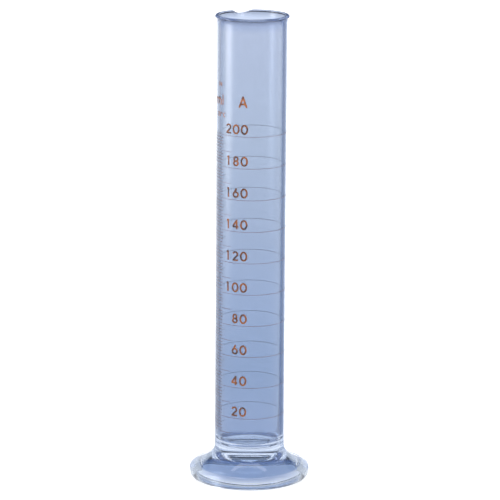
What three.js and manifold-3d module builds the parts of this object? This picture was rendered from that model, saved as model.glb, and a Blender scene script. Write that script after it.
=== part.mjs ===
// A 200 ml graduated measuring cylinder: a drawn glass barrel with a fire-polished rim and a pulled
// spout, sealed to a pressed glass foot, with its scale printed on the outside in fired enamel.
// Millimetres, +Z up, origin at the centre of the standing ring. The front is -Y. Angles round the
// barrel are measured from the front, positive towards +X.
import * as THREE from "three";
import { mergeVertices } from "three/addons/utils/BufferGeometryUtils.js";
import Module from "manifold-3d";

const wasm = await Module();
wasm.setup();

// ---- Driving dimensions -------------------------------------------------------------------------
const BARREL_R = 20.5; // outer radius of the drawn tube
const WALL = 2.05;
const BORE_R = BARREL_R - WALL;
const HEIGHT = 276.5; // table to rim
const SEAL_Z = 17; // where barrel and foot are sealed together
const SEAL_R = 20.9;
const FLOOR_Z = 20; // the bore's floor
const FLOOR_CORNER_R = 7;

const RIM_R = 21.6; // outside of the flared rim
const FLARE_H = 4.2; // height over which the tube flares to the rim
const LIP_THICK = 2.3;

const SPOUT_AT = -163; // degrees round from the front
const SPOUT_HALF_WIDTH = 20; // degrees
const SPOUT_REACH = 4.6; // how far the lip is pulled out
const SPOUT_DROP = 2.6; // how far its edge sinks
const SPOUT_H = 13; // height of the groove under the lip

const FOOT_R = 35.6;
const FOOT_EDGE_Z = 4; // height of the foot's widest line
const STAND_R_OUT = 33.2; // the flat ring that touches the table
const STAND_R_IN = 31;
const HOLLOW_Z = 15.5; // top of the hollow underneath
const HOLLOW_MID_R = 20; // where its dome turns into its skirt
const HOLLOW_MID_Z = 10.4;

const ENAMEL_GAP = 0.08; // keeps the print's flat facets clear of the barrel's corners
const ENAMEL_THICK = 0.12;
const RING_WIDTH = 0.3; // height of a printed line
const LONG_MARK_FROM = -127;
const LONG_MARK_TO = -34;

const FULL_ML = 200;
const NUMBERED_STEP_ML = 20;

const BARREL_SEGMENTS = 60;
const FOOT_SEGMENTS = 48;
const PRINT_SEGMENTS = 40;

// ---- The scale: heights follow from the bore ----------------------------------------------------
const BORE_AREA = Math.PI * BORE_R ** 2;
// Glass left in the rounded corner of the floor, by Pappus's theorem: its section's area times the
// path of its centroid, 0.2234 corner radii in from the wall.
const CORNER_VOLUME =
  (1 - Math.PI / 4) * FLOOR_CORNER_R ** 2 * 2 * Math.PI * (BORE_R - 0.2234 * FLOOR_CORNER_R);
const levelOf = (ml) => FLOOR_Z + (ml * 1000 + CORNER_VOLUME) / BORE_AREA;

// ---- Materials ----------------------------------------------------------------------------------
const glass = new THREE.MeshStandardMaterial({ color: 0xaebfdf, roughness: 0.03, metalness: 0 });
const enamel = new THREE.MeshStandardMaterial({ color: 0x8a5130, roughness: 0.5, metalness: 0 });

const cylinder = new THREE.Group();

function add(name, geometry, material) {
  const mesh = new THREE.Mesh(geometry, material);
  mesh.name = name;
  cylinder.add(mesh);
}

// ---- Helpers ------------------------------------------------------------------------------------
const radians = THREE.MathUtils.degToRad;

// Turns an outline of (radius, height) points round +Z; angle 0 of the lathe is the front.
function turned(outline, segments) {
  return new THREE.LatheGeometry(outline, segments).rotateX(Math.PI / 2);
}

function toSolid(geometry) {
  const bare = geometry.clone();
  bare.deleteAttribute("normal");
  bare.deleteAttribute("uv");
  const merged = mergeVertices(bare, 1e-4);
  return new wasm.Manifold(
    new wasm.Mesh({
      numProp: 3,
      vertProperties: new Float32Array(merged.attributes.position.array),
      triVerts: new Uint32Array(merged.index.array),
    }),
  );
}

function toGeometry(solid) {
  const mesh = solid.getMesh();
  const geometry = new THREE.BufferGeometry();
  geometry.setAttribute("position", new THREE.BufferAttribute(mesh.vertProperties, 3));
  geometry.setIndex(new THREE.BufferAttribute(mesh.triVerts, 1));
  geometry.computeVertexNormals();
  return geometry;
}

// ---- Barrel -------------------------------------------------------------------------------------
// The outline runs from the underside's centre out, up the outside, over the rim, down the bore and
// in along the floor.
function barrelOutline() {
  const flareZ = HEIGHT - FLARE_H;
  const lipZ = HEIGHT - LIP_THICK / 2;
  const lipR = RIM_R - LIP_THICK / 2;
  const outline = new THREE.Path();
  outline.moveTo(0, SEAL_Z);
  outline.lineTo(SEAL_R, SEAL_Z);
  outline.quadraticCurveTo(BARREL_R, SEAL_Z + 1.4, BARREL_R, SEAL_Z + 6);
  outline.lineTo(BARREL_R, flareZ);
  outline.quadraticCurveTo(BARREL_R, lipZ - 1.2, RIM_R, lipZ);
  outline.absarc(lipR, lipZ, LIP_THICK / 2, 0, Math.PI, false);
  outline.quadraticCurveTo(BORE_R, lipZ - 1.4, BORE_R, flareZ - 0.6);
  outline.lineTo(BORE_R, FLOOR_Z + FLOOR_CORNER_R);
  outline.absarc(
    BORE_R - FLOOR_CORNER_R, FLOOR_Z + FLOOR_CORNER_R, FLOOR_CORNER_R, 0, -Math.PI / 2, true,
  );
  outline.lineTo(0, FLOOR_Z);
  return outline.getPoints(3);
}

// Pulls the wall outwards in a groove that deepens towards the rim, and lets the lip sink there.
function pullSpout(geometry) {
  const position = geometry.attributes.position;
  const point = new THREE.Vector3();
  for (let i = 0; i < position.count; i++) {
    point.fromBufferAttribute(position, i);
    const radius = Math.hypot(point.x, point.y);
    const rise = (point.z - (HEIGHT - SPOUT_H)) / SPOUT_H;
    if (radius < BORE_R - 0.1 || rise <= 0) continue;
    const angle = THREE.MathUtils.radToDeg(Math.atan2(point.x, -point.y));
    const off = ((angle - SPOUT_AT + 540) % 360) - 180;
    if (Math.abs(off) >= SPOUT_HALF_WIDTH) continue;
    const across = Math.cos((Math.PI / 2) * (off / SPOUT_HALF_WIDTH)) ** 2;
    const pull = SPOUT_REACH * across * rise ** 2;
    point.x *= 1 + pull / radius;
    point.y *= 1 + pull / radius;
    point.z -= SPOUT_DROP * across * rise ** 4;
    position.setXYZ(i, point.x, point.y, point.z);
  }
  geometry.computeVertexNormals();
  return geometry;
}

// The straight wall gets a few extra rings of points under the rim for the spout to bend.
function splitWall(outline) {
  const steps = 3;
  return outline.flatMap((point, i) => {
    const next = outline[i + 1];
    if (!next || Math.abs(next.y - point.y) < SPOUT_H * 4) return [point];
    const top = Math.max(point.y, next.y);
    const extra = Array.from({ length: steps }, (_, k) =>
      new THREE.Vector2(point.x, top - ((SPOUT_H - FLARE_H) * (steps - k)) / steps));
    return [point, ...(next.y > point.y ? extra : extra.reverse())];
  });
}

add("barrel", pullSpout(turned(splitWall(barrelOutline()), BARREL_SEGMENTS)), glass);

// ---- Foot ---------------------------------------------------------------------------------------
// A pressed bell: a domed hollow underneath, a flat standing ring, a thick round edge and a flare
// that rises to the seal.
function footOutline() {
  const shoulderR = FOOT_R - 1.9;
  const shoulderZ = FOOT_EDGE_Z + 3.7;
  const outline = new THREE.Path();
  outline.moveTo(0, HOLLOW_Z);
  outline.bezierCurveTo(
    HOLLOW_MID_R - 11, HOLLOW_Z, HOLLOW_MID_R - 6, HOLLOW_MID_Z + 3.4, HOLLOW_MID_R, HOLLOW_MID_Z,
  );
  outline.bezierCurveTo(
    HOLLOW_MID_R + 5, HOLLOW_MID_Z - 2.8, STAND_R_IN - 1, HOLLOW_MID_Z - 4.9, STAND_R_IN, 0,
  );
  outline.lineTo(STAND_R_OUT, 0);
  outline.bezierCurveTo(FOOT_R - 0.9, 0.5, FOOT_R, 2.1, FOOT_R, FOOT_EDGE_Z);
  outline.bezierCurveTo(FOOT_R, FOOT_EDGE_Z + 1.8, FOOT_R - 0.8, shoulderZ - 0.7, shoulderR, shoulderZ);
  outline.bezierCurveTo(shoulderR - 4, shoulderZ + 1.9, SEAL_R + 1.2, SEAL_Z - 4.2, SEAL_R, SEAL_Z);
  outline.lineTo(0, SEAL_Z);
  return outline.getPoints(4);
}

add("foot", turned(footOutline(), FOOT_SEGMENTS), glass);

// ---- Printed lines ------------------------------------------------------------------------------
const PRINT_IN = BARREL_R + ENAMEL_GAP;
const PRINT_OUT = PRINT_IN + ENAMEL_THICK;

function sleeve(low, high) {
  const corners = [[PRINT_IN, low], [PRINT_OUT, low], [PRINT_OUT, high], [PRINT_IN, high], [PRINT_IN, low]];
  return turned(corners.map(([r, z]) => new THREE.Vector2(r, z)), PRINT_SEGMENTS);
}

const threeDigits = (ml) => String(ml).padStart(3, "0");

// A full ring at every numbered level.
for (let ml = NUMBERED_STEP_ML; ml <= FULL_ML; ml += NUMBERED_STEP_ML) {
  const z = levelOf(ml);
  add(`ring_line_${threeDigits(ml)}`, sleeve(z - RING_WIDTH / 2, z + RING_WIDTH / 2), enamel);
}

// A long mark, about a quarter of the way round, halfway between rings.
function markAt(ml, from, to) {
  const z = levelOf(ml);
  const section = new THREE.Shape();
  section.absarc(0, 0, PRINT_OUT, radians(from), radians(to), false);
  section.absarc(0, 0, PRINT_IN, radians(to), radians(from), true);
  // The shape's angle 0 is +X; a quarter turn back puts it at the front.
  return new THREE.ExtrudeGeometry(section, { depth: RING_WIDTH, bevelEnabled: false, curveSegments: 6 })
    .rotateZ(-Math.PI / 2)
    .translate(0, 0, z - RING_WIDTH / 2);
}

for (let ml = NUMBERED_STEP_ML / 2; ml < FULL_ML; ml += NUMBERED_STEP_ML)
  add(`long_mark_${threeDigits(ml)}`, markAt(ml, LONG_MARK_FROM, LONG_MARK_TO), enamel);

// ---- Printed numerals and letters ---------------------------------------------------------------
// A glyph is a list of pen strokes on a box one unit high, in its own units: a line from one point
// to another, or part of an ellipse with a centre, two radii and two angles in degrees.
const line = (x0, y0, x1, y1) => ({ line: [x0, y0, x1, y1] });
const curve = (cx, cy, rx, ry, from = 0, to = 360) => ({ curve: [cx, cy, rx, ry, from, to] });

const GLYPHS = {
  0: [curve(0, 0.5, 0.3, 0.434)],
  1: [line(0.02, 0, 0.02, 1), line(-0.16, 0.84, 0.06, 0.97)],
  2: [curve(0, 0.68, 0.25, 0.254, -35, 168), line(0.235, 0.6, -0.27, 0.05), line(-0.32, 0.066, 0.31, 0.066)],
  4: [line(0.13, 0, 0.13, 1), line(0.15, 0.96, -0.31, 0.3), line(-0.35, 0.27, 0.32, 0.27)],
  6: [curve(0, 0.33, 0.27, 0.264), line(-0.235, 0.42, 0.1, 0.98)],
  8: [curve(0, 0.715, 0.2, 0.219), curve(0, 0.285, 0.24, 0.219)],
  A: [line(-0.33, 0, 0.02, 0.98), line(0.33, 0, -0.02, 0.98), line(-0.24, 0.3, 0.24, 0.3)],
  m: [line(-0.5, 0, -0.5, 0.66), curve(-0.25, 0.38, 0.25, 0.22, 0, 180), line(0, 0, 0, 0.4),
    curve(0.25, 0.38, 0.25, 0.22, 0, 180), line(0.5, 0, 0.5, 0.4)],
  l: [line(0, 0, 0, 1)],
  I: [line(0, 0, 0, 1)],
  N: [line(-0.3, 0, -0.3, 1), line(0.3, 0, 0.3, 1), line(-0.32, 1, 0.32, 0)],
  degree: [curve(0, 0.82, 0.13, 0.13)],
  C: [curve(0.05, 0.5, 0.34, 0.434, 50, 310)],
};

function strokeShape(stroke, pen) {
  const shape = new THREE.Shape();
  if (stroke.line) {
    const [x0, y0, x1, y1] = stroke.line;
    const along = new THREE.Vector2(x1 - x0, y1 - y0).normalize();
    const side = new THREE.Vector2(-along.y, along.x).multiplyScalar(pen / 2);
    shape.moveTo(x0 - side.x, y0 - side.y);
    shape.lineTo(x1 - side.x, y1 - side.y);
    shape.lineTo(x1 + side.x, y1 + side.y);
    shape.lineTo(x0 + side.x, y0 + side.y);
    return shape;
  }
  const [cx, cy, rx, ry, from, to] = stroke.curve;
  const [outX, outY, inX, inY] = [rx + pen / 2, ry + pen / 2, rx - pen / 2, ry - pen / 2];
  if (to - from === 360) {
    shape.absellipse(cx, cy, outX, outY, 0, 2 * Math.PI, false);
    shape.holes.push(new THREE.Path().absellipse(cx, cy, inX, inY, 0, 2 * Math.PI, true));
    return shape;
  }
  shape.absellipse(cx, cy, outX, outY, radians(from), radians(to), false);
  shape.absellipse(cx, cy, inX, inY, radians(to), radians(from), true);
  return shape;
}

const PRINT_REACH = 2; // a glyph's prism runs this far either side of the printed skin
const printSkin = toSolid(sleeve(levelOf(0), HEIGHT - SPOUT_H));

// Cuts a glyph out of the printed skin: its strokes become a prism square to the barrel at its
// angle, and the skin keeps only what lies inside that prism.
function printGlyph(name, glyph, { at, z, height, pen }) {
  const facing = new THREE.Matrix4().makeBasis(
    new THREE.Vector3(Math.cos(radians(at)), Math.sin(radians(at)), 0),
    new THREE.Vector3(0, 0, 1),
    new THREE.Vector3(Math.sin(radians(at)), -Math.cos(radians(at)), 0),
  );
  const settings = { depth: 2 * PRINT_REACH, bevelEnabled: false, curveSegments: height > 4 ? 6 : 4 };
  const strokes = GLYPHS[glyph].map((stroke) => {
    const prism = new THREE.ExtrudeGeometry(strokeShape(stroke, pen / height), settings);
    prism.scale(height, height, 1).translate(0, z, BARREL_R - PRINT_REACH);
    return toSolid(prism.applyMatrix4(facing));
  });
  const prism = strokes.reduce((joined, next) => joined.add(next));
  add(name, toGeometry(prism.intersect(printSkin)), enamel);
}

const NUMERAL = { height: 5.6, pen: 0.92 };
const NUMERAL_LIFT = 1.45; // from the ring's middle to the numeral's foot
const LAST_DIGIT_AT = -11.6;
const DIGIT_PITCH = 14.2; // degrees between the middles of two digits
const PLACES = ["units", "tens", "hundreds"];

for (let ml = NUMBERED_STEP_ML; ml <= FULL_ML; ml += NUMBERED_STEP_ML)
  [...String(ml)].reverse().forEach((digit, i) =>
    printGlyph(`numeral_${threeDigits(ml)}_${PLACES[i]}`, digit, {
      ...NUMERAL,
      at: LAST_DIGIT_AT - i * DIGIT_PITCH,
      z: levelOf(ml) + NUMERAL_LIFT,
    }));

// The accuracy class, and beside it the unit and the calibration temperature.
const TOP_LEVEL = levelOf(FULL_ML);
printGlyph("class_letter_A", "A", { at: -14.2, z: TOP_LEVEL + 17.1, height: 6.6, pen: 1.1 });
printGlyph("unit_letter_m", "m", { at: -68, z: TOP_LEVEL + 17.3, height: 6.1, pen: 0.8 });
printGlyph("unit_letter_l", "l", { at: -54, z: TOP_LEVEL + 17.3, height: 6.1, pen: 0.8 });

const SMALL = { height: 2.6, pen: 0.42 };
const SMALL_PITCH = 6.6;
[["contain_letter_I", "I"], ["contain_letter_N", "N"]].forEach(([name, glyph], i) =>
  printGlyph(name, glyph, { ...SMALL, at: -66 + i * SMALL_PITCH, z: TOP_LEVEL + 28 }));
[["temperature_2", "2"], ["temperature_0", "0"], ["temperature_degree", "degree"], ["temperature_C", "C"]]
  .forEach(([name, glyph], i) =>
    printGlyph(name, glyph, { ...SMALL, at: -70 + i * SMALL_PITCH, z: TOP_LEVEL + 10.4 }));

export default cylinder;
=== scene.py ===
import math

import bpy
import numpy as np
from mathutils import Matrix, Vector


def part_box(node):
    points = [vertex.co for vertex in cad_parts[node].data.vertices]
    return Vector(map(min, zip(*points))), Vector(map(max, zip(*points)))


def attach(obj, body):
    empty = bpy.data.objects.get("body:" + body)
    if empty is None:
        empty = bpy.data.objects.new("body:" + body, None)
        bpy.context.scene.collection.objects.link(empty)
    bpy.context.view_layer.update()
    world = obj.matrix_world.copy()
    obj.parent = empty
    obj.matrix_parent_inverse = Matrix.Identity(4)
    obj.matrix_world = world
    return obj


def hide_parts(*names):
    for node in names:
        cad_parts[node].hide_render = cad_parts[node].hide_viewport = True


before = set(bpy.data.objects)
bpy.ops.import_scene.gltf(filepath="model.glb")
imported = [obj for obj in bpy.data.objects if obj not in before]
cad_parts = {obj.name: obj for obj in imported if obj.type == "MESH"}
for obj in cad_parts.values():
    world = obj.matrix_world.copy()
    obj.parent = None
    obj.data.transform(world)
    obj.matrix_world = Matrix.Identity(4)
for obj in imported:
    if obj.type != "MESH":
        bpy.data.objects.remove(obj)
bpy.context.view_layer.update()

# ---- Camera ------------------------------------------------------------------------------------
# A long lens a little above the rim, looking down past it to the foot, so that the cylinder's
# rings show as shallow ellipses. It is rolled by less than half a degree.
CAMERA_AT = (-0.0004, -1.8745, 0.5543)
CAMERA_PITCH = math.radians(-12.55)
CAMERA_ROLL = math.radians(0.42)
LENS_MM = 235.6

lens = bpy.data.cameras.new("camera")
lens.lens = LENS_MM
lens.clip_end = 30.0
camera = bpy.data.objects.new("camera", lens)
bpy.context.scene.collection.objects.link(camera)
camera.matrix_world = (
    Matrix.Translation(CAMERA_AT)
    @ Matrix.Rotation(math.pi / 2 + CAMERA_PITCH, 4, "X")
    @ Matrix.Rotation(CAMERA_ROLL, 4, "Z")
)
bpy.context.scene.camera = camera

# ---- Glass: barrel, rim, spout and foot --------------------------------------------------------
# Borosilicate glass. The barrel is drawn tube with a rounded closed end; its rim is flared, fire
# polished and pulled out into a spout in a flame. The foot is a pressed bell, and the two are
# fused, so the finished glass is one surface with no joint in it.
MM = 0.001
BARREL_R = 20.5
BORE_R = 18.45
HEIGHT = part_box("barrel")[1].z / MM
SEAL_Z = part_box("barrel")[0].z / MM
SEAL_R = 20.9
SEAL_TOP = SEAL_Z + 6
FLOOR_Z = 20.0
FLOOR_CORNER_R = 7.0
RIM_R = 21.6
LIP_THICK = 2.3
FLARE_H = 4.2
SPOUT_AT = math.radians(-163)
SPOUT_HALF_WIDTH = math.radians(20)
SPOUT_REACH = 4.6
SPOUT_DROP = 2.6
SPOUT_H = 13.0
FOOT_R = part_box("foot")[1].x / MM
FOOT_EDGE_Z = 4.0
SHOULDER = (FOOT_R - 1.9, FOOT_EDGE_Z + 3.7)
STAND_R_IN, STAND_R_OUT = 31.0, 33.2
HOLLOW_Z = 15.5
HOLLOW_MID = (20.0, 10.4)
GLASS_SEGMENTS = 256


def bezier(points, count):
    """Points of a Bezier curve: at each t from 0 to 1, every control point weighed by its
    Bernstein polynomial, the binomial coefficient times t^k times (1 - t)^(n - k)."""
    t = np.linspace(0, 1, count)[:, None]
    degree = len(points) - 1
    return sum(
        math.comb(degree, k) * t**k * (1 - t) ** (degree - k) * np.array(point, float)
        for k, point in enumerate(points)
    )


def arc(centre, radius, start, end, count):
    """Points of a circle's arc: the centre plus the radius times (cosine, sine) of an angle that
    goes evenly from start to end, in degrees."""
    angle = np.radians(np.linspace(start, end, count))
    return np.array(centre) + radius * np.column_stack([np.cos(angle), np.sin(angle)])


def glass_profile():
    """The glass's half section as (radius, height) points, from the middle of the hollow under the
    foot out to the standing ring, up the outside, over the lip, down the bore and in along its
    floor: arcs, straight walls and Bezier curves joined end to end, with repeated points dropped."""
    flare_z = HEIGHT - FLARE_H
    lip_r = LIP_THICK / 2
    lip = (RIM_R - lip_r, HEIGHT - lip_r)
    edge_z = FOOT_EDGE_Z
    corner = (BORE_R - FLOOR_CORNER_R, FLOOR_Z + FLOOR_CORNER_R)
    mid_r, mid_z = HOLLOW_MID
    shoulder_r, shoulder_z = SHOULDER
    seal = (SEAL_R, SEAL_Z)
    stretches = [
        bezier([(0, HOLLOW_Z), (mid_r - 11, HOLLOW_Z), (mid_r - 6, mid_z + 3.4), HOLLOW_MID], 28),
        bezier([HOLLOW_MID, (mid_r + 5, mid_z - 2.8), (STAND_R_IN - 1, mid_z - 4.9), (STAND_R_IN, 0)], 26),
        bezier([(STAND_R_OUT, 0), (FOOT_R - 0.9, 0.5), (FOOT_R, 2.1), (FOOT_R, edge_z)], 14),
        bezier([(FOOT_R, edge_z), (FOOT_R, edge_z + 1.8), (FOOT_R - 0.8, shoulder_z - 0.7), SHOULDER], 12),
        bezier([SHOULDER, (shoulder_r - 4, shoulder_z + 1.9), (SEAL_R + 1.2, SEAL_Z - 4.2), seal], 30),
        bezier([seal, (BARREL_R, SEAL_Z + 1.4), (BARREL_R, SEAL_TOP)], 14),
        bezier([(BARREL_R, SEAL_TOP), (BARREL_R, HEIGHT - SPOUT_H)], 24),
        bezier([(BARREL_R, HEIGHT - SPOUT_H), (BARREL_R, flare_z)], 16),
        bezier([(BARREL_R, flare_z), (BARREL_R, lip[1] - 1.2), (RIM_R, lip[1])], 14),
        arc(lip, lip_r, 0, 180, 24),
        bezier([(lip[0] - lip_r, lip[1]), (BORE_R, lip[1] - 1.4), (BORE_R, flare_z - 0.6)], 14),
        bezier([(BORE_R, flare_z - 0.6), (BORE_R, HEIGHT - SPOUT_H)], 16),
        bezier([(BORE_R, HEIGHT - SPOUT_H), (BORE_R, corner[1])], 24),
        arc(corner, FLOOR_CORNER_R, 0, -90, 24),
        np.array([(0, FLOOR_Z)]),
    ]
    profile = np.concatenate(stretches)
    step = np.hypot(*np.diff(profile, axis=0).T)
    return profile[np.concatenate([[True], step > 1e-6])]


def pull_spout(points):
    """Moves points out and down where the spout is. Outwards by the reach times cos^2 across the
    spout times the square of the height above its foot; down by the drop times cos^2 times the
    fourth power of that height."""
    x, y, z = points.T
    radius = np.hypot(x, y)
    away = (np.arctan2(x, -y) - SPOUT_AT + math.pi) % (2 * math.pi) - math.pi
    hump = np.cos(math.pi / 2 * away / SPOUT_HALF_WIDTH) ** 2
    across = np.where(np.abs(away) < SPOUT_HALF_WIDTH, hump, 0)
    rise = np.clip((z - (HEIGHT - SPOUT_H)) / SPOUT_H, 0, 1)
    stretch = 1 + SPOUT_REACH * across * rise**2 / np.maximum(radius, 1)
    return np.column_stack([x * stretch, y * stretch, z - SPOUT_DROP * across * rise**4])


def mesh_piece(name, points_mm, faces, slot, smooth=True):
    """A named piece of the object from points in millimetres and faces, riding on its one body."""
    mesh = bpy.data.meshes.new(name)
    mesh.from_pydata((np.asarray(points_mm) * MM).tolist(), [], faces)
    mesh.polygons.foreach_set("use_smooth", np.full(len(mesh.polygons), smooth))
    mesh.update()
    piece = bpy.data.objects.new(name, mesh)
    bpy.context.scene.collection.objects.link(piece)
    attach(piece, "root")
    return piece


def turned_glass():
    """The profile turned about the axis: each point with a radius gives a ring of points at equal
    angles, neighbouring rings are joined by quads, and the two ends on the axis by fans."""
    profile = glass_profile()
    rings = profile[1:-1]
    angle = np.arange(GLASS_SEGMENTS) * 2 * math.pi / GLASS_SEGMENTS
    x = rings[:, :1] * np.sin(angle)
    y = -rings[:, :1] * np.cos(angle)
    z = np.repeat(rings[:, 1:], GLASS_SEGMENTS, 1)
    wall = pull_spout(np.column_stack([x.ravel(), y.ravel(), z.ravel()]))
    poles = np.column_stack([np.zeros(2), np.zeros(2), profile[[0, -1], 1]])
    index = np.arange(len(wall)).reshape(len(rings), GLASS_SEGMENTS)
    turned = np.roll(index, -1, 1)
    quads = np.stack([index[:-1], turned[:-1], turned[1:], index[1:]], -1).reshape(-1, 4)
    hollow_pole, floor_pole = len(wall), len(wall) + 1
    hollow_fan = np.column_stack([np.full(GLASS_SEGMENTS, hollow_pole), turned[0], index[0]])
    floor_fan = np.column_stack([np.full(GLASS_SEGMENTS, floor_pole), index[-1], turned[-1]])
    faces = quads.tolist() + hollow_fan.tolist() + floor_fan.tolist()
    return np.concatenate([wall, poles]), faces


def linear(hex_colour):
    """An sRGB hex colour as linear red, green, blue and alpha."""
    srgb = np.array([int(hex_colour[i : i + 2], 16) for i in (1, 3, 5)]) / 255
    values = np.where(srgb <= 0.04045, srgb / 12.92, ((srgb + 0.055) / 1.055) ** 2.4)
    return (*values.tolist(), 1.0)


def add_node(owner, kind, settings=None, inputs=None, output=None):
    """Adds a node to a material or world: settings are its own properties, and inputs are values
    or the sockets to link. It returns the node, or its output of the given name or number."""
    tree = owner.node_tree
    node = tree.nodes.new(kind)
    for key, value in (settings or {}).items():
        setattr(node, key, value)
    for key, value in (inputs or {}).items():
        if isinstance(value, bpy.types.NodeSocket):
            tree.links.new(value, node.inputs[key])
        else:
            node.inputs[key].default_value = value
    return node if output is None else node.outputs[output]


def new_material(name):
    """An empty node material and its output node."""
    material = bpy.data.materials.new(name)
    material.use_nodes = True
    material.node_tree.nodes.clear()
    return material, add_node(material, "ShaderNodeOutputMaterial")


def borosilicate_glass():
    """Borosilicate laboratory glass with a blue cast, its own colour. How deep the cast is changes with
    height, and that change is painted light and shade: almost clear in the foot, a painted highlight,
    deepest low in the barrel and paler going up, painted shade and light, and deeper again in the
    thick flared rim, painted shade. The pressed underside, which is what lies under a line that falls
    with the radius, is deeper still, painted shade under the foot, and fades out at the standing ring.
    The floor of the bore and the crown under it are made clear, painted light. Long soft draw lines
    run along the barrel."""
    draw_line_mm, draw_line_length_mm = 6.0, 160.0
    # Blue cast by height in mm: the glass's own tint with painted light and shade in it, palest in the
    # foot as a painted highlight and deeper at the rim's top as painted shade.
    tint_and_painted_light_at_mm = [
        (0, "#F4F7FA"), (4, "#E8EEF6"), (9, "#C6D2E4"), (14, "#BECBE0"), (22, "#ACB9CF"),
        (40, "#AAB7CC"), (63, "#A8B6CB"), (110, "#B0BCCF"), (155, "#B6C0D0"), (203, "#BDC6D4"),
        (268, "#C4CBD9"), (272, "#B2BDD3"), (274.5, "#949EB4"),
    ]
    # The underside's deeper blue is painted shade under the foot, not a colour of the glass.
    underside_painted_shade = "#5F78A8"
    underside_top_mm, underside_fall = 20.3, 0.45
    # The near clear floor of the bore and the crown under it are painted light.
    underside_fades_mm, floor_painted_light, floor_fades_mm = (28.5, 30.4), "#E6EEF6", (11.0, 17.0)
    material, output = new_material("borosilicate glass, fire polished, painted light and shade")
    place = add_node(material, "ShaderNodeTexCoord", output="Object")
    spot = add_node(material, "ShaderNodeSeparateXYZ", inputs={0: place})
    up = add_node(
        material, "ShaderNodeMapRange",
        inputs={"Value": spot.outputs["Z"], "From Max": HEIGHT * MM}, output=0,
    )
    # The height ramp: the glass's tint with painted light and shade.
    tint_with_painted_light = add_node(material, "ShaderNodeValToRGB", inputs={0: up})
    stops = tint_with_painted_light.color_ramp.elements
    while len(stops) < len(tint_and_painted_light_at_mm):
        stops.new(0.5)
    for stop, (z, colour) in zip(stops, tint_and_painted_light_at_mm):
        stop.position = z / HEIGHT
        stop.color = linear(colour)
    flat = add_node(
        material, "ShaderNodeCombineXYZ",
        inputs={0: spot.outputs["X"], 1: spot.outputs["Y"]}, output=0,
    )
    radius = add_node(material, "ShaderNodeVectorMath", {"operation": "LENGTH"}, {0: flat}, "Value")
    line = add_node(
        material, "ShaderNodeMath", {"operation": "MULTIPLY_ADD"},
        {0: radius, 1: -underside_fall, 2: underside_top_mm * MM}, 0,
    )
    below = add_node(
        material, "ShaderNodeMath", {"operation": "LESS_THAN"}, {0: spot.outputs["Z"], 1: line}, 0
    )
    painted_shade_inside, painted_light_inside = (
        add_node(
            material, "ShaderNodeMapRange", {"interpolation_type": "SMOOTHSTEP"},
            {
                "Value": radius,
                "From Min": start * MM,
                "From Max": end * MM,
                "To Min": 1.0,
                "To Max": 0.0,
            }, 0,
        )
        for start, end in (underside_fades_mm, floor_fades_mm)
    )
    under = add_node(
        material, "ShaderNodeMath", {"operation": "MULTIPLY"}, {0: below, 1: painted_shade_inside}, 0
    )
    # Mixes in the painted shade on the underside.
    cast_with_painted_shade = add_node(
        material, "ShaderNodeMix", {"data_type": "RGBA"},
        {"Factor": under, 6: tint_with_painted_light.outputs[0], 7: linear(underside_painted_shade)}, 2,
    )
    # Mixes in the painted light on the bore's floor and the crown.
    cast = add_node(
        material, "ShaderNodeMix", {"data_type": "RGBA"},
        {"Factor": painted_light_inside, 6: cast_with_painted_shade, 7: linear(floor_painted_light)}, 2,
    )
    around, along = 1 / (draw_line_mm * MM), 1 / (draw_line_length_mm * MM)
    stretch = add_node(
        material, "ShaderNodeMapping",
        inputs={"Vector": place, "Scale": [around, around, along]}, output=0,
    )
    lines = add_node(
        material, "ShaderNodeTexNoise",
        inputs={"Vector": stretch, "Scale": 1.0, "Detail": 1.0}, output=0,
    )
    bump = add_node(
        material, "ShaderNodeBump",
        inputs={"Height": lines, "Strength": 0.12, "Distance": 0.1 * MM}, output=0,
    )
    shader = add_node(
        material, "ShaderNodeBsdfPrincipled",
        inputs={
            "Base Color": cast,
            "Roughness": 0.0,
            "IOR": 1.473,
            "Transmission Weight": 1.0,
            "Normal": bump,
        },
        output=0,
    )
    absorption = add_node(
        material, "ShaderNodeVolumeAbsorption",
        inputs={"Color": linear("#9DB4DC"), "Density": 3.0}, output=0,
    )
    material.node_tree.links.new(shader, output.inputs["Surface"])
    material.node_tree.links.new(absorption, output.inputs["Volume"])
    return material


glass = mesh_piece("fused_glass_body", *turned_glass(), "glass")
glass.data.materials.append(borosilicate_glass())
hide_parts("barrel", "foot")

# ---- Enamel lines: rings and marks -------------------------------------------------------------
# Brown ceramic enamel, screen printed round the barrel and fired on. A full ring stands at every
# 20 ml, a long mark halfway between, and short marks at every 2 ml.
ENAMEL_IN = BARREL_R + 0.015
ENAMEL_OUT = BARREL_R + 0.075
LINE_WIDTH, SHORT_LINE_WIDTH = 0.2, 0.32
FULL_ML = 200
NUMBERED_STEP_ML = 20
FINE_STEP_ML = 2
LONG_MARK = (-127.0, -34.0)
SHORT_MARK = (-108.0, -52.5)
RING_STATIONS, LONG_STATIONS, SHORT_STATIONS = 180, 48, 16

# The glass in the floor's rounded corner: its section, a square less a quarter disc, swept round
# the axis at its centroid, which lies 0.2234 corner radii in from the bore's wall.
CORNER_CENTROID = 0.2234
BORE_AREA = math.pi * BORE_R**2
CORNER_SECTION = (1 - math.pi / 4) * FLOOR_CORNER_R**2
CORNER_VOLUME = CORNER_SECTION * 2 * math.pi * (BORE_R - CORNER_CENTROID * FLOOR_CORNER_R)


def level(ml):
    """Height in millimetres of the level of so many millilitres: the floor, plus the volume and
    the glass in the floor's rounded corner over the bore's area."""
    return FLOOR_Z + (ml * 1000 + CORNER_VOLUME) / BORE_AREA


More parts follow.
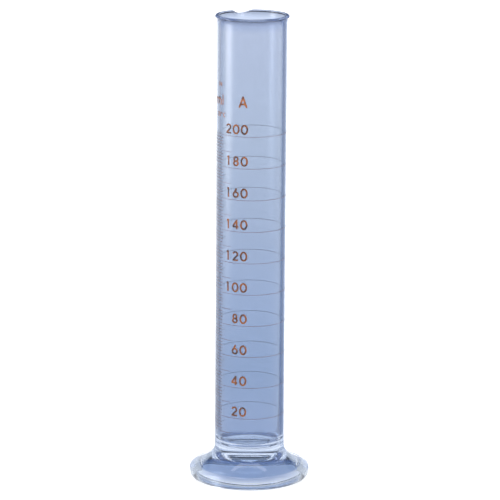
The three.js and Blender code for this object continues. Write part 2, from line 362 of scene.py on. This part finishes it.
def printed_ribbon(left, right, closed=False, lift=0.0):
    """A ribbon of enamel on the barrel between two edges, each a list of (distance round, height)
    points in millimetres. Every station has four corners, at the inner and the outer radius of
    each edge; the angle round is the distance over the barrel's radius. Ends are capped."""
    flat = np.stack([left, left, right, right], 1)
    radius = np.array([ENAMEL_IN, ENAMEL_OUT + lift, ENAMEL_OUT + lift, ENAMEL_IN])
    angle = flat[..., 0] / BARREL_R
    points = np.stack([radius * np.sin(angle), -radius * np.cos(angle), flat[..., 1]], -1)
    stations = len(flat)
    index = np.arange(stations * 4).reshape(stations, 4)
    ahead = np.roll(index, -1, 0) if closed else index[1:]
    here = index if closed else index[:-1]
    sides = np.stack([here, ahead, np.roll(ahead, -1, 1), np.roll(here, -1, 1)], -1).reshape(-1, 4)
    caps = [] if closed else [index[0].tolist(), index[-1][::-1].tolist()]
    return points.reshape(-1, 3), sides.tolist() + caps


def joined(ribbons):
    """Several ribbons as one set of points and faces: each one's faces count on from the points
    before it."""
    points, faces, first = [], [], 0
    for ribbon_points, ribbon_faces in ribbons:
        points.append(ribbon_points)
        faces += [[first + corner for corner in face] for face in ribbon_faces]
        first += len(ribbon_points)
    return np.concatenate(points), faces


def printed_line(ml, start, end, stations, width=LINE_WIDTH):
    """A level line from one angle to another, in degrees, with its two edges half its width above
    and below the level. A line of 360 degrees closes on itself."""
    closed = end - start >= 360
    around = np.radians(np.linspace(start, end, stations, endpoint=not closed)) * BARREL_R
    lower = np.column_stack([around, np.full(stations, level(ml) - width / 2)])
    upper = lower + [0, width]
    return printed_ribbon(upper, lower, closed)


def fired_enamel(name, thick, thin, mottle_mm):
    """Fired ceramic enamel, screen printed: satin, dark where its film is thick and more orange
    where it is thin, in patches of the given size, with the faint tooth of the screen, which
    breaks up its shine. The real tooth is about 0.15 mm, too fine to show, so it is drawn coarser."""
    screen_mm = 0.6
    material, output = new_material(name)
    place = add_node(material, "ShaderNodeTexCoord", output="Object")
    film = add_node(
        material, "ShaderNodeTexNoise",
        inputs={"Vector": place, "Scale": 1 / (mottle_mm * MM), "Detail": 2.0}, output=0,
    )
    depth = add_node(
        material, "ShaderNodeMapRange",
        inputs={"Value": film, "From Min": 0.35, "From Max": 0.65}, output=0,
    )
    colour = add_node(
        material, "ShaderNodeMix", {"data_type": "RGBA"},
        {"Factor": depth, 6: linear(thick), 7: linear(thin)}, 2,
    )
    tooth = add_node(
        material, "ShaderNodeTexNoise",
        inputs={"Vector": place, "Scale": 1 / (screen_mm * MM)}, output=0,
    )
    gloss = add_node(
        material, "ShaderNodeMapRange",
        inputs={"Value": tooth, "To Min": 0.38, "To Max": 0.55}, output=0,
    )
    bump = add_node(
        material, "ShaderNodeBump",
        inputs={"Height": tooth, "Strength": 0.3, "Distance": 0.01 * MM}, output=0,
    )
    shader = add_node(
        material, "ShaderNodeBsdfPrincipled",
        inputs={"Base Color": colour, "Roughness": gloss, "IOR": 1.5, "Normal": bump}, output=0,
    )
    material.node_tree.links.new(shader, output.inputs["Surface"])
    return material


line_enamel = fired_enamel("brown line enamel, fired", "#5C4046", "#745250", 1.2)


def enamel_piece(name, shape, material, *nodes):
    """A printed piece in that enamel, standing for its CAD nodes."""
    piece = mesh_piece(name, *shape, "enamel", smooth=False)
    piece.data.materials.append(material)
    if nodes:
        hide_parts(*nodes)
    return piece


numbered_levels = range(NUMBERED_STEP_ML, FULL_ML + 1, NUMBERED_STEP_ML)
for ml in numbered_levels:
    ring = printed_line(ml, -180, 180, RING_STATIONS)
    enamel_piece(f"ring_{ml:03d}", ring, line_enamel, f"ring_line_{ml:03d}")

half_step = NUMBERED_STEP_ML // 2
for ml in range(half_step, FULL_ML, NUMBERED_STEP_ML):
    long_mark = printed_line(ml, *LONG_MARK, LONG_STATIONS)
    enamel_piece(f"mark_{ml:03d}", long_mark, line_enamel, f"long_mark_{ml:03d}")

short_levels = [ml for ml in range(half_step, FULL_ML, FINE_STEP_ML) if ml % half_step]
short_marks = joined(
    [printed_line(ml, *SHORT_MARK, SHORT_STATIONS, SHORT_LINE_WIDTH) for ml in short_levels]
)
enamel_piece("short_marks", short_marks, line_enamel)

# ---- Enamel numerals and letters ---------------------------------------------------------------
# The same enamel, printed thicker and so more orange: numerals stand on their rings left of the
# front, and above them the accuracy class, the unit and the calibration temperature.
NUMERAL_H, NUMERAL_PEN = 5.6, 1.06
NUMERAL_LIFT = 1.45
LAST_DIGIT_AT = -11.6
DIGIT_PITCH = 14.2
LAYER_LIFT = 0.004
PLACES = ["units", "tens", "hundreds"]

# Pen strokes on a box one unit high: straight ones run from (x, y) to (x, y); round ones have a
# centre, two radii and a start and end angle in degrees.
GLYPHS = {
    "0": [("round", 0, 0.5, 0.3, 0.434, 0, 360)],
    "1": [("straight", 0.02, 0, 0.02, 1), ("straight", -0.16, 0.84, 0.06, 0.97)],
    "2": [
        ("round", 0, 0.68, 0.25, 0.254, -35, 168),
        ("straight", 0.235, 0.6, -0.27, 0.05),
        ("straight", -0.32, 0.066, 0.31, 0.066),
    ],
    "4": [
        ("straight", 0.13, 0, 0.13, 1),
        ("straight", 0.15, 0.96, -0.31, 0.3),
        ("straight", -0.35, 0.27, 0.32, 0.27),
    ],
    "6": [("round", 0, 0.33, 0.27, 0.264, 0, 360), ("straight", -0.235, 0.42, 0.1, 0.98)],
    "8": [("round", 0, 0.715, 0.2, 0.219, 0, 360), ("round", 0, 0.285, 0.24, 0.219, 0, 360)],
    "A": [
        ("straight", -0.33, 0, 0.02, 0.98),
        ("straight", 0.33, 0, -0.02, 0.98),
        ("straight", -0.24, 0.3, 0.24, 0.3),
    ],
    "m": [
        ("straight", -0.5, 0, -0.5, 0.66),
        ("round", -0.25, 0.38, 0.25, 0.22, 0, 180),
        ("straight", 0, 0, 0, 0.4),
        ("round", 0.25, 0.38, 0.25, 0.22, 0, 180),
        ("straight", 0.5, 0, 0.5, 0.4),
    ],
    "l": [("straight", 0, 0, 0, 1)],
    "I": [("straight", 0, 0, 0, 1)],
    "N": [
        ("straight", -0.3, 0, -0.3, 1),
        ("straight", 0.3, 0, 0.3, 1),
        ("straight", -0.32, 1, 0.32, 0),
    ],
    "degree": [("round", 0, 0.82, 0.13, 0.13, 0, 360)],
    "C": [("round", 0.05, 0.5, 0.34, 0.434, 50, 310)],
}


def pen_stroke(stroke, pen):
    """The two edges of one stroke on the unit box, and whether it closes on itself: half the pen
    to each side of a straight line, or ellipses half the pen outside and inside of a round one."""
    if stroke[0] == "straight":
        start, end = np.array(stroke[1:3], float), np.array(stroke[3:5], float)
        along = (end - start) / np.hypot(*(end - start))
        side = np.array([-along[1], along[0]]) * pen / 2
        path = np.linspace(start, end, 6)
        return path + side, path - side, False
    centre_x, centre_y, radius_x, radius_y, start, end = stroke[1:]
    closed = end - start == 360
    angle = np.radians(np.linspace(start, end, 40, endpoint=not closed))
    centre = np.array([centre_x, centre_y])
    turn = np.column_stack([np.cos(angle), np.sin(angle)])
    radii = np.array([radius_x, radius_y])
    return centre + turn * (radii - pen / 2), centre + turn * (radii + pen / 2), closed


def printed_glyph(glyph, at, foot_z, height, pen):
    """A glyph on the barrel: its strokes scaled to the height and moved to the angle and the level
    that it stands on. Each stroke's film is a hair higher than the last where they cross."""
    place = np.array([math.radians(at) * BARREL_R, foot_z])
    ribbons = []
    for layer, stroke in enumerate(GLYPHS[glyph]):
        left, right, closed = pen_stroke(stroke, pen / height)
        edges = left * height + place, right * height + place
        ribbons.append(printed_ribbon(*edges, closed, LAYER_LIFT * layer))
    return joined(ribbons)


numeral_enamel = fired_enamel("orange-brown numeral enamel, fired", "#38211F", "#9A5520", 3.0)

for ml in numbered_levels:
    for place, digit in enumerate(reversed(str(ml))):
        name = f"numeral_{ml:03d}_{PLACES[place]}"
        at = LAST_DIGIT_AT - place * DIGIT_PITCH
        shape = printed_glyph(digit, at, level(ml) + NUMERAL_LIFT, NUMERAL_H, NUMERAL_PEN)
        enamel_piece(f"printed_{name}", shape, numeral_enamel, name)

# Each letter is its node, its glyph, the angle and the level it stands at, its height and its pen.
TOP = level(FULL_ML)
SMALL_H, SMALL_PEN, SMALL_PITCH = 2.6, 0.42, 6.6
letter_enamel = fired_enamel("orange letter enamel, fired", "#6E3A26", "#BC7038", 2.0)
lettering = [
    ("class_letter_A", "A", -14.2, TOP + 17.1, 6.6, 1.1),
    ("unit_letter_m", "m", -68, TOP + 17.3, 6.1, 0.8),
    ("unit_letter_l", "l", -54, TOP + 17.3, 6.1, 0.8),
    ("contain_letter_I", "I", -66, TOP + 28, SMALL_H, SMALL_PEN),
    ("contain_letter_N", "N", -66 + SMALL_PITCH, TOP + 28, SMALL_H, SMALL_PEN),
]
lettering += [
    (f"temperature_{glyph}", glyph, -70 + i * SMALL_PITCH, TOP + 10.4, SMALL_H, SMALL_PEN)
    for i, glyph in enumerate(["2", "0", "degree", "C"])
]
for node, glyph, *setting in lettering:
    enamel_piece(f"printed_{node}", printed_glyph(glyph, *setting), letter_enamel, node)

# ---- Table -------------------------------------------------------------------------------------
# A light table under the foot's ring, a hair below it, and wide enough to fill the view from
# every side: opal acrylic lit from underneath, so that nothing that stands on it throws a shadow.
TABLE_HALF = 8.0
TABLE_GAP = 0.2 * MM


def opal_acrylic():
    """Opal acrylic sheet, matt, glowing evenly: hardly visible clouds in it about 12 mm across."""
    cloud_mm, glow = 12, 0.8
    material, output = new_material("opal acrylic sheet, lit from below")
    place = add_node(material, "ShaderNodeTexCoord", output="Object")
    clouds = add_node(
        material, "ShaderNodeTexNoise",
        inputs={"Vector": place, "Scale": 1 / (cloud_mm * MM)}, output=0,
    )
    colour = add_node(
        material, "ShaderNodeMix", {"data_type": "RGBA"},
        {"Factor": clouds, 6: linear("#F3F3F3"), 7: linear("#F5F5F5")}, 2,
    )
    shader = add_node(
        material, "ShaderNodeBsdfPrincipled",
        inputs={
            "Base Color": colour,
            "Roughness": 1.0,
            "Specular IOR Level": 0.0,
            "Emission Color": colour,
            "Emission Strength": glow,
        },
        output=0,
    )
    material.node_tree.links.new(shader, output.inputs["Surface"])
    return material


table_mesh = bpy.data.meshes.new("table")
table_corners = [
    (x * TABLE_HALF, y * TABLE_HALF, -TABLE_GAP) for x, y in [(-1, -1), (1, -1), (1, 1), (-1, 1)]
]
table_mesh.from_pydata(table_corners, [], [(0, 1, 2, 3)])
table_mesh.materials.append(opal_acrylic())
table = bpy.data.objects.new("table", table_mesh)
bpy.context.scene.collection.objects.link(table)

# ---- Light -------------------------------------------------------------------------------------
# An even white room and a soft lamp overhead. A wide softbox on the left and a narrow one on the
# right give the barrel's two streaks, a dark flag behind it draws the rim, and a grey-blue flag
# lying on the table at each side draws the barrel's edges.
ROOM = linear("#F4F9FF")
WALL_STRENGTH, CEILING_STRENGTH = 0.85, 0.7
CEILING_FROM = 0.45
OVERHEAD_AT, OVERHEAD_SIZE, OVERHEAD_WATTS = (0.0, 0.3, 2.2), 1.2, 12

world = bpy.data.worlds.new("studio")
world.use_nodes = True
background = world.node_tree.nodes["Background"]
background.inputs["Color"].default_value = ROOM
direction = add_node(world, "ShaderNodeTexCoord", output="Generated")
upward = add_node(world, "ShaderNodeSeparateXYZ", inputs={0: direction}, output="Z")
strength = add_node(
    world, "ShaderNodeMapRange", {"interpolation_type": "SMOOTHSTEP"},
    {
        "Value": upward,
        "From Max": CEILING_FROM,
        "To Min": WALL_STRENGTH,
        "To Max": CEILING_STRENGTH,
    }, 0,
)
world.node_tree.links.new(strength, background.inputs["Strength"])
bpy.context.scene.world = world

overhead = bpy.data.lights.new("overhead", "AREA")
overhead.shape = "RECTANGLE"
overhead.size = OVERHEAD_SIZE
overhead.size_y = OVERHEAD_SIZE
overhead.energy = OVERHEAD_WATTS
lamp = bpy.data.objects.new("overhead", overhead)
lamp.location = OVERHEAD_AT
bpy.context.scene.collection.objects.link(lamp)


def glow_panel(name, corners, falloff, colour, strength):
    """A glowing card that only the glass sees, from its four corners in metres. Its light fades to
    nothing at its soft edges: falloff takes the material and its Object coordinates, and gives
    the socket of the glow's share from 0 to 1."""
    mesh = bpy.data.meshes.new(name)
    mesh.from_pydata(corners, [], [(0, 1, 2, 3)])
    panel = bpy.data.objects.new(name, mesh)
    bpy.context.scene.collection.objects.link(panel)
    material, output = new_material(name)
    place = add_node(material, "ShaderNodeTexCoord", output="Object")
    glow = add_node(
        material, "ShaderNodeEmission",
        inputs={"Color": linear(colour), "Strength": strength}, output=0,
    )
    clear = add_node(material, "ShaderNodeBsdfTransparent", output=0)
    share = falloff(material, place)
    mix = add_node(material, "ShaderNodeMixShader", inputs={0: share, 1: clear, 2: glow}, output=0)
    material.node_tree.links.new(mix, output.inputs["Surface"])
    mesh.materials.append(material)
    panel.visible_camera = False
    panel.visible_diffuse = False
    panel.visible_shadow = False


def soft_edge(material, distance, half, soft):
    """The share of a glow at a signed distance from its middle: 1 inside, falling by a smooth step
    to 0 at half its width, over the soft part of that half."""
    away = add_node(material, "ShaderNodeMath", {"operation": "ABSOLUTE"}, {0: distance}, 0)
    return add_node(
        material, "ShaderNodeMapRange", {"interpolation_type": "SMOOTHSTEP"},
        {
            "Value": away,
            "From Min": half * (1 - soft),
            "From Max": half,
            "To Min": 1.0,
            "To Max": 0.0,
        }, 0,
    )


def standing_panel(name, azimuth, distance, width, low, high, rise, colour, strength, soft):
    """An upright panel facing the cylinder, at an angle round from straight behind it, in degrees,
    positive to the right. It fades with the distance from its middle line, and evenly with the
    height from its top's full glow down to nothing, over the rise above its low edge."""
    angle = math.radians(azimuth)
    across = Vector((math.cos(angle), -math.sin(angle), 0))
    middle = Vector((math.sin(angle), math.cos(angle), 0)) * distance
    left, right = middle - across * width / 2, middle + across * width / 2
    corners = [(*left.xy, low), (*right.xy, low), (*right.xy, high), (*left.xy, high)]

    def falloff(material, place):
        sideways = add_node(
            material, "ShaderNodeVectorMath", {"operation": "DOT_PRODUCT"},
            {0: place, 1: across}, "Value",
        )
        height = add_node(material, "ShaderNodeSeparateXYZ", inputs={0: place}, output="Z")
        upward = add_node(
            material, "ShaderNodeMapRange",
            inputs={"Value": height, "From Min": low, "From Max": low + rise}, output=0,
        )
        edges = soft_edge(material, sideways, width / 2, soft)
        return add_node(material, "ShaderNodeMath", {"operation": "MULTIPLY"}, {0: upward, 1: edges}, 0)

    glow_panel(name, corners, falloff, colour, strength)


def lying_flag(name, azimuth, half_angle, colour, soft):
    """A wedge of grey card lying on the table and pointing at the cylinder, in the same angles. It
    fades with the angle round from its middle line: the arctangent of x over y, less its own."""
    near, far, lift = 0.05, 3.0, 0.0004
    edges = [math.radians(azimuth - half_angle), math.radians(azimuth + half_angle)]
    spots = [(near, edges[0]), (near, edges[1]), (far, edges[1]), (far, edges[0])]
    corners = [(r * math.sin(angle), r * math.cos(angle), lift) for r, angle in spots]

    def falloff(material, place):
        spot = add_node(material, "ShaderNodeSeparateXYZ", inputs={0: place})
        round_from_back = add_node(
            material, "ShaderNodeMath", {"operation": "ARCTAN2"},
            {0: spot.outputs["X"], 1: spot.outputs["Y"]}, 0,
        )
        off = add_node(
            material, "ShaderNodeMath", {"operation": "SUBTRACT"},
            {0: round_from_back, 1: math.radians(azimuth)}, 0,
        )
        return soft_edge(material, off, math.radians(half_angle), soft)

    glow_panel(name, corners, falloff, colour, 1.0)


standing_panel("left_softbox", -99, 0.40, 0.34, 0.0, 0.5, 0.22, "#FFFFFF", 5.2, 0.9)
standing_panel("right_softbox", 112, 0.45, 0.12, 0.0, 0.5, 0.25, "#FFFFFF", 2.6, 0.95)
standing_panel("rim_flag", 0, 0.60, 1.20, 0.22, 0.60, 0.02, "#3A4050", 1.0, 0.4)
lying_flag("left_flag", -46, 28, "#DCE2EE", 0.35)
lying_flag("right_flag", 44, 27, "#ACB8D2", 0.35)

# Rays cross the foot's thick glass many times before they leave it.
GLASS_CROSSINGS = 512
paths = bpy.context.scene.cycles
paths.max_bounces = GLASS_CROSSINGS
paths.glossy_bounces = GLASS_CROSSINGS
paths.transmission_bounces = GLASS_CROSSINGS
bpy.context.scene.view_settings.view_transform = "Standard"
